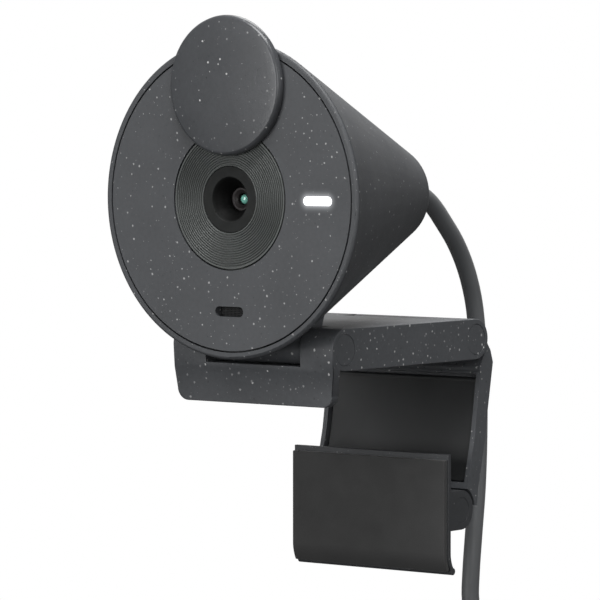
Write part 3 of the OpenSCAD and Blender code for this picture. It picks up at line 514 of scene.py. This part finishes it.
MOULDED = [
    ("rear_shell", 0.12, "graphite_plastic", shell_finish),
    ("face_plate", 0.06, "graphite_plastic", face_finish),
    ("privacy_disc", 0.1, "graphite_plastic", disc_finish),
    ("clip_bracket", 0.22, "graphite_plastic", clip_finish),
    ("tilt_neck", 0.25, "graphite_plastic", clip_finish),
    ("pin_caps", 0.05, "graphite_plastic", clip_finish),
    ("leg_frame", 0.3, "graphite_plastic", clip_finish),
    ("foot_bracket", 0.2, "graphite_plastic", foot_finish),
    ("foot_caps", 0.02, "graphite_plastic", foot_finish),
    ("leg_panel", 0.15, "black_plastic", panel_finish),
    ("lens_ring", 0.03, "black_plastic", trim_finish),
    ("lens_hood", 0.08, "black_plastic", hood_finish),
    ("lens_barrel", 0.05, "black_plastic", barrel_finish),
    ("led_window", 0.08, "white_plastic", lit_finish),
    ("foot_pad", 0.2, "rubber", rubber_finish),
    ("seat_pad", 0.2, "rubber", rubber_finish),
    ("lip_pad", 0.12, "rubber", rubber_finish),
    ("cable_boot", 0.2, "rubber", jacket_finish),
    ("plug_boot", 0.2, "rubber", jacket_finish),
    ("plug_grip", 0.9, "black_plastic", black_finish),
    ("plug_shell", 0.1, "steel", steel_finish),
]
TIGHT = {
    "clip_bracket": near_pins(["tilt_pin", "leg_pin"], 2.8),
    "foot_bracket": near_pins(["foot_pin"], 2.4),
}
moulded = {node: softened(node, edge, slot, finish, TIGHT.get(node))
           for node, edge, slot, finish in MOULDED}
print("moulded pieces:", len(moulded), "faces:", sum(len(p.data.polygons) for p in moulded.values()))

# %% Finishes of the inner pieces
INNER = {
    steel_finish: ["board_screws", "shield_can", "microphone", "shutter_pin",
                   "shutter_washer", "shutter_clip", "neck_screws", "tilt_pin", "tilt_washers",
                   "leg_pin", "foot_pin"],
    brass_finish: ["board_spacers"],
    board_finish: ["camera_board", "main_board", "led_board", "mic_board"],
    chip_finish: ["image_sensor"],
    white_finish: ["cable_connector", "led_chip"],
    black_finish: ["lens_holder"],
    hood_finish: ["mic_mesh"],
    rubber_finish: ["bond_ring", "mic_gasket", "inner_lead"],
    glass_finish: ["front_glass", "rear_glass", "infrared_filter"],
}
for finish, names in INNER.items():
    for name in names:
        nodes[name].data.materials.clear()
        nodes[name].data.materials.append(finish)
print("inner pieces painted:", sum(len(names) for names in INNER.values()))

# %% [markdown]
# ## The cable
# A tube is swept along the route with a ring of points round each step. The rings are carried from
# one step to the next without twisting, which a fixed "up" direction can't do on a coil. The cable
# leaves the back of the head and hangs on the clip.

# %% The cable
CABLE_SIDES = 14

def swept_tube(name, line, radius, sides):
    """A closed tube along a line, its rings carried along without twist."""
    headings = [(b - a).normalized() for a, b in zip([line[0]] + line[:-1], line[1:] + [line[-1]])]
    headings[0] = (line[1] - line[0]).normalized()
    across = headings[0].orthogonal().normalized()
    points, faces = [], []
    for place, heading in zip(line, headings):
        across = (across - heading * across.dot(heading)).normalized()
        other = heading.cross(across)
        for k in range(sides):
            angle = 2 * math.pi * k / sides
            points.append(place + (across * math.cos(angle) + other * math.sin(angle)) * radius)
    for ring in range(len(line) - 1):
        for k in range(sides):
            after = (k + 1) % sides
            low, high = ring * sides, (ring + 1) * sides
            faces.append((low + k, low + after, high + after, high + k))
    faces.append(tuple(range(sides - 1, -1, -1)))
    faces.append(tuple(range((len(line) - 1) * sides, len(line) * sides)))
    mesh = bpy.data.meshes.new(name)
    mesh.from_pydata([tuple(p) for p in points], [], faces)
    mesh.shade_smooth()
    mesh.set_sharp_from_angle(angle=math.radians(50))
    return new_object(name, mesh)

cable = swept_tube("cable", cable_line, CABLE_D / 2, CABLE_SIDES)
cable.data.materials.append(jacket_finish)
print("cable faces:", len(cable.data.polygons))

# %% [markdown]
# ## Repeating details
# Geometry Nodes suit what repeats. A small tree takes its sizes as named inputs, lays out points,
# puts a copy on each and ends as one real mesh. Changing an input changes all copies at once.

# %% Geometry Nodes helpers
def new_tree(name, sizes):
    """An empty tree with a geometry output and the named inputs {title: (socket type, value)}."""
    tree = bpy.data.node_groups.new(name, "GeometryNodeTree")
    tree.interface.new_socket("Geometry", in_out="OUTPUT", socket_type="NodeSocketGeometry")
    for title, (kind, value) in sizes.items():
        tree.interface.new_socket(title, in_out="INPUT", socket_type=kind).default_value = value
    return tree, add(tree, "NodeGroupInput").outputs

def close_tree(tree, geometry, material):
    real = add(tree, "GeometryNodeRealizeInstances", {"Geometry": geometry}).outputs[0]
    smooth = add(tree, "GeometryNodeSetShadeSmooth", {"Geometry": real}).outputs[0]
    painted = add(tree, "GeometryNodeSetMaterial", {"Geometry": smooth, "Material": material})
    add(tree, "NodeGroupOutput", {"Geometry": painted.outputs[0]})

def grown(name, tree, values):
    """Runs a tree with the given values and keeps what it makes as a plain mesh."""
    made = new_object(name, bpy.data.meshes.new(name))
    run = made.modifiers.new("made", "NODES")
    run.node_group = tree
    for item in tree.interface.items_tree:
        if item.in_out == "INPUT" and item.name in values:
            run[item.identifier] = values[item.name]
    keep_result(made)
    print(name, "faces:", len(made.data.polygons))
    return made

FLOAT, WHOLE, VECTOR = "NodeSocketFloat", "NodeSocketInt", "NodeSocketVector"

# %% [markdown]
# ## Ridges of the lens ring
# The ring round the lens is turned with fine concentric ridges, and their rounded tops draw the
# bright hairlines that move over it as it is turned in the light. One circle is copied once for
# each ridge, scaled to its radius, and given a round section.

# %% Ridges of the lens ring
def ridge_tree(material):
    tree, given = new_tree("ridges", {
        "Count": (WHOLE, 14), "First radius": (FLOAT, 0.0057), "Pitch": (FLOAT, 0.0004),
        "Bead": (FLOAT, 0.00006), "Centre": (VECTOR, (0, 0, 0))})
    dots = add(tree, "GeometryNodePoints", {"Count": given["Count"]}).outputs[0]
    index = add(tree, "GeometryNodeInputIndex").outputs[0]
    radius = add(tree, "ShaderNodeMath", {
        0: index, 1: given["Pitch"], 2: given["First radius"]}, operation="MULTIPLY_ADD").outputs[0]
    circle = add(tree, "GeometryNodeCurvePrimitiveCircle", {"Resolution": 128, "Radius": 1.0}).outputs[0]
    rings = add(tree, "GeometryNodeInstanceOnPoints", {
        "Points": dots, "Instance": circle, "Scale": radius}).outputs[0]
    lines = add(tree, "GeometryNodeRealizeInstances", {"Geometry": rings}).outputs[0]
    even = add(tree, "GeometryNodeSetCurveRadius", {"Curve": lines, "Radius": 1.0}).outputs[0]
    section = add(tree, "GeometryNodeCurvePrimitiveCircle", {
        "Resolution": 6, "Radius": given["Bead"]}).outputs[0]
    beads = add(tree, "GeometryNodeCurveToMesh", {"Curve": even, "Profile Curve": section}).outputs[0]
    stood = add(tree, "GeometryNodeTransform", {
        "Geometry": beads, "Translation": given["Centre"], "Rotation": (math.pi / 2, 0, 0)})
    close_tree(tree, stood.outputs[0], material)
    return tree

GROOVES = 14
HOOD_R, TRIM_R = 5.5 * MM, 11.5 * MM
INNER_MARGIN, BOTH_MARGINS = 0.2 * MM, 0.45 * MM
RIDGE_SHARE = 0.15
BEAD_R, BEAD_DEPTH = 0.07 * MM, 0.12 * MM
groove_pitch = (TRIM_R - HOOD_R - BOTH_MARGINS) / GROOVES
ridges = grown("lens_ring_ridges", ridge_tree(trim_finish), {
    "Count": GROOVES, "First radius": HOOD_R + INNER_MARGIN + RIDGE_SHARE * groove_pitch,
    "Pitch": groove_pitch, "Bead": BEAD_R, "Centre": (0, face_y + BEAD_DEPTH, lens_z)})
dress(ridges, "head", "black_plastic", trim_finish)

# %% [markdown]
# ## Microphone gauze
# Behind its slot the microphone is covered by a fine black gauze that keeps dust out and lets sound
# in. A grid's edges, each given a round section, are a quick way to wires that cross.

# %% Microphone gauze
def gauze_tree(material):
    tree, given = new_tree("gauze", {
        "Width": (FLOAT, 0.006), "Height": (FLOAT, 0.002), "Columns": (WHOLE, 20),
        "Rows": (WHOLE, 8), "Wire": (FLOAT, 0.00005), "Centre": (VECTOR, (0, 0, 0))})
    grid = add(tree, "GeometryNodeMeshGrid", {
        "Size X": given["Width"], "Size Y": given["Height"],
        "Vertices X": given["Columns"], "Vertices Y": given["Rows"]}).outputs[0]
    lines = add(tree, "GeometryNodeMeshToCurve", {"Mesh": grid}).outputs[0]
    section = add(tree, "GeometryNodeCurvePrimitiveCircle", {
        "Resolution": 5, "Radius": given["Wire"]}).outputs[0]
    wires = add(tree, "GeometryNodeCurveToMesh", {"Curve": lines, "Profile Curve": section}).outputs[0]
    stood = add(tree, "GeometryNodeTransform", {
        "Geometry": wires, "Translation": given["Centre"], "Rotation": (math.pi / 2, 0, 0)})
    close_tree(tree, stood.outputs[0], material)
    return tree

mesh_low, mesh_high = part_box("mic_mesh")
gauze = grown("mic_gauze", gauze_tree(panel_finish), {
    "Width": mesh_high.x - mesh_low.x, "Height": mesh_high.z - mesh_low.z, "Columns": 24, "Rows": 10,
    "Wire": 0.05 * MM, "Centre": (0, mesh_low.y, (mesh_low.z + mesh_high.z) / 2)})
dress(gauze, "head", "black_plastic", panel_finish)

# %% [markdown]
# ## Contacts of the plug
# The plug's metal shell is hollow, with a row of gilded contacts on each of its long inner walls.
# A line of points carries one strip each, and a mirrored copy of the row makes the other.

# %% Contacts of the plug
def contact_tree(material):
    tree, given = new_tree("contacts", {
        "Count": (WHOLE, 12), "Pitch": (FLOAT, 0.0005), "Strip": (VECTOR, (0.00025, 0.0002, 0.004)),
        "Apart": (FLOAT, 0.0014), "Centre": (VECTOR, (0, 0, 0))})
    half = add(tree, "ShaderNodeMath", {0: given["Apart"], 1: 0.5}, operation="MULTIPLY").outputs[0]
    last = add(tree, "ShaderNodeMath", {0: given["Count"], 1: 1.0}, operation="SUBTRACT").outputs[0]
    span = add(tree, "ShaderNodeMath", {0: last, 1: given["Pitch"]}, operation="MULTIPLY").outputs[0]
    left = add(tree, "ShaderNodeMath", {0: span, 1: -0.5}, operation="MULTIPLY").outputs[0]
    start = add(tree, "ShaderNodeCombineXYZ", {"X": left, "Y": half}).outputs[0]
    step = add(tree, "ShaderNodeCombineXYZ", {"X": given["Pitch"]}).outputs[0]
    row = add(tree, "GeometryNodeMeshLine", {
        "Count": given["Count"], "Start Location": start, "Offset": step}).outputs[0]
    strip = add(tree, "GeometryNodeMeshCube", {"Size": given["Strip"]}).outputs[0]
    front = add(tree, "GeometryNodeInstanceOnPoints", {"Points": row, "Instance": strip}).outputs[0]
    back = add(tree, "GeometryNodeTransform", {
        "Geometry": front, "Rotation": (0, 0, math.pi)}).outputs[0]
    both = add(tree, "GeometryNodeJoinGeometry", {"Geometry": front})
    tree.links.new(back, both.inputs[0])
    moved = add(tree, "GeometryNodeTransform", {
        "Geometry": both.outputs[0], "Translation": given["Centre"]}).outputs[0]
    close_tree(tree, moved, material)
    return tree

shell_low, shell_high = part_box("plug_shell")
contacts = grown("plug_contacts", contact_tree(brass_finish), {
    "Count": 12, "Pitch": 0.5 * MM, "Strip": (0.25 * MM, 0.2 * MM, 4.5 * MM),
    "Apart": shell_high.y - shell_low.y - 0.7 * MM,
    "Centre": ((shell_low.x + shell_high.x) / 2, (shell_low.y + shell_high.y) / 2,
               shell_high.z - 3 * MM)})
dress(contacts, "bracket", "brass", brass_finish)

# %% [markdown]
# ## The tie
# A strip of hook-and-loop fabric holds the coil. Its outside is a nap of tiny loops, so a grid of
# low bumps covers the strap. Each has only a few faces, because there are hundreds of them.

# %% The tie
def woven_strap(name):
    material, tree, coords = start_material(name, Sheen_Weight=0.35, Sheen_Roughness=0.4)
    rows = add(tree, "ShaderNodeTexWave", {
        "Vector": coords, "Scale": 1 / (2.2 * MM), "Distortion": 0.4}, bands_direction="X")
    cross = add(tree, "ShaderNodeTexWave", {
        "Vector": coords, "Scale": 1 / (2.2 * MM), "Distortion": 0.4}, bands_direction="DIAGONAL")
    weave = math_node(tree, "MULTIPLY", rows.outputs["Fac"], cross.outputs["Fac"])
    colour = mix(tree, weave, grey(0.02), grey(0.06))
    finish_material(tree, colour, spread(tree, noise(tree, coords, 1, 3), 0.75, 0.9), (weave, 0.1))
    return material

def nap_tree(material):
    tree, given = new_tree("nap", {
        "Size": (VECTOR, (0.008, 0.012, 0)), "Columns": (WHOLE, 18), "Rows": (WHOLE, 26),
        "Loop": (FLOAT, 0.0002), "Centre": (VECTOR, (0, 0, 0)), "Seed": (WHOLE, 5)})
    size = add(tree, "ShaderNodeSeparateXYZ", {0: given["Size"]}).outputs
    grid = add(tree, "GeometryNodeMeshGrid", {
        "Size X": size[0], "Size Y": size[1],
        "Vertices X": given["Columns"], "Vertices Y": given["Rows"]}).outputs[0]
    turn = add(tree, "FunctionNodeRandomValue", {
        "Min": (0, 0, 0), "Max": (0.4, 0.4, math.pi), "Seed": given["Seed"]},
        data_type="FLOAT_VECTOR").outputs[0]
    ball = add(tree, "GeometryNodeMeshIcoSphere", {"Radius": given["Loop"], "Subdivisions": 1}).outputs[0]
    loops = add(tree, "GeometryNodeInstanceOnPoints", {
        "Points": grid, "Instance": ball, "Rotation": turn, "Scale": (1, 0.7, 0.8)}).outputs[0]
    moved = add(tree, "GeometryNodeTransform", {
        "Geometry": loops, "Translation": given["Centre"]}).outputs[0]
    close_tree(tree, moved, material)
    return tree

tie_finish = woven_strap("tie_fabric")
tie = softened("coil_tie", 0.35, "tie_fabric", tie_finish)
tie_low, tie_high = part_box("coil_tie")
nap = grown("tie_nap", nap_tree(tie_finish), {
    "Size": (tie_high.x - tie_low.x - 1.2 * MM, tie_high.y - tie_low.y - 1.2 * MM, 0),
    "Columns": 16, "Rows": 30, "Loop": 0.2 * MM, "Seed": 5,
    "Centre": ((tie_low.x + tie_high.x) / 2, (tie_low.y + tie_high.y) / 2, tie_high.z)})
dress(nap, "bracket", "tie_fabric", tie_finish)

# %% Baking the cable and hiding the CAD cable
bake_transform(cable)
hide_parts("cable_run", "cable_coil", "cable_tail")

# %% [markdown]
# ## Floor and light
# The webcam hangs in front of plain white. The strongest lamp hangs above it. Three more stand in
# front: to the left, beside the camera and to the right. Two behind it draw the edges. Dark plastic
# shows its shape through reflections more than through shade, so the size of the lamps matters as
# much as their power.

# %% Floor and light
def white_floor(radius, height):
    """A round pale floor that fades into the white behind it."""
    mesh = bpy.data.meshes.new("floor")
    edit = bmesh.new()
    bmesh.ops.create_circle(edit, cap_ends=True, segments=96, radius=radius,
                            matrix=Matrix.Translation((0, 0, height)))
    edit.to_mesh(mesh)
    edit.free()
    material, tree, coords = start_material("floor_paint", Roughness=0.8)
    shader = tree.nodes["Principled BSDF"]
    shader.inputs["Base Color"].default_value = grey(0.8)
    away = add(tree, "ShaderNodeVectorMath", {0: coords}, operation="LENGTH").outputs["Value"]
    fade = spread(tree, away, 0, 1, radius * 0.45, radius * 0.95)
    white = add(tree, "ShaderNodeEmission", {"Color": grey(1.0), "Strength": 1.0}).outputs[0]
    lit = add(tree, "ShaderNodeAddShader", {
        0: shader.outputs[0],
        1: add(tree, "ShaderNodeEmission", {"Color": grey(1.0), "Strength": 0.45}).outputs[0]})
    faded = add(tree, "ShaderNodeMixShader", {0: fade, 1: lit.outputs[0], 2: white})
    tree.links.new(faded.outputs[0], tree.nodes["Material Output"].inputs["Surface"])
    floor = new_object("floor", mesh)
    mesh.materials.append(material)
    floor.visible_glossy = False
    floor.visible_diffuse = False
    return floor

def soft_light(name, azimuth, elevation, distance, width, height, power):
    """An area lamp aimed at the webcam; azimuth is counted from the camera, to the right."""
    lamp_data = bpy.data.lights.new(name, "AREA")
    lamp_data.shape = "RECTANGLE"
    lamp_data.size, lamp_data.size_y = width, height
    lamp_data.energy = power
    across, rise, outward = camera_axes(AZIMUTH + math.radians(azimuth), math.radians(elevation))
    lamp = bpy.data.objects.new(name, lamp_data)
    lamp.matrix_world = Matrix((
        (across.x, rise.x, outward.x, 0), (across.y, rise.y, outward.y, 0),
        (across.z, rise.z, outward.z, 0), (0, 0, 0, 1)))
    lamp.location = aim + outward * distance
    lamp.visible_camera = False
    bpy.context.collection.objects.link(lamp)
    return lamp

FLOOR_RADIUS, FLOOR_HEIGHT = 0.6, -0.16
DIM_BELOW, DIM_ABOVE = 0.08, 0.2
# Name, azimuth and elevation in degrees, distance, width and height in metres, power in watts
LAMPS = [
    ("front_light", -50, 6, 0.9, 0.5, 0.6, 4.7),
    ("camera_light", 10, 8, 0.9, 0.3, 0.5, 2.4),
    ("top_light", 0, 72, 0.8, 0.5, 0.4, 10.0),
    ("side_light", 62, 2, 0.9, 0.3, 0.6, 1.15),
    ("back_light", 180, 14, 0.9, 0.9, 0.4, 0.5),
    ("rear_light", 165, 50, 0.9, 0.5, 0.5, 4.0),
]
white_floor(FLOOR_RADIUS, FLOOR_HEIGHT)
for lamp_values in LAMPS:
    soft_light(*lamp_values)

world = bpy.data.worlds.new("studio")
bpy.context.scene.world = world
world.use_nodes = True
sky = world.node_tree
sky.nodes["Background"].inputs["Color"].default_value = grey(1.0)
sky.nodes["Background"].inputs["Strength"].default_value = 1.0
way = add(sky, "ShaderNodeTexCoord").outputs["Generated"]
rise = add(sky, "ShaderNodeSeparateXYZ", {0: way}).outputs["Z"]
dim = add(sky, "ShaderNodeBackground", {
    "Color": grey(1.0), "Strength": spread(sky, rise, DIM_BELOW, DIM_ABOVE, -0.6, 0.5)}).outputs[0]
seen = add(sky, "ShaderNodeLightPath").outputs["Is Camera Ray"]
both = add(sky, "ShaderNodeMixShader", {0: seen, 1: dim, 2: sky.nodes["Background"].outputs[0]})
sky.links.new(both.outputs[0], sky.nodes["World Output"].inputs["Surface"])
bpy.context.scene.view_settings.view_transform = "Standard"
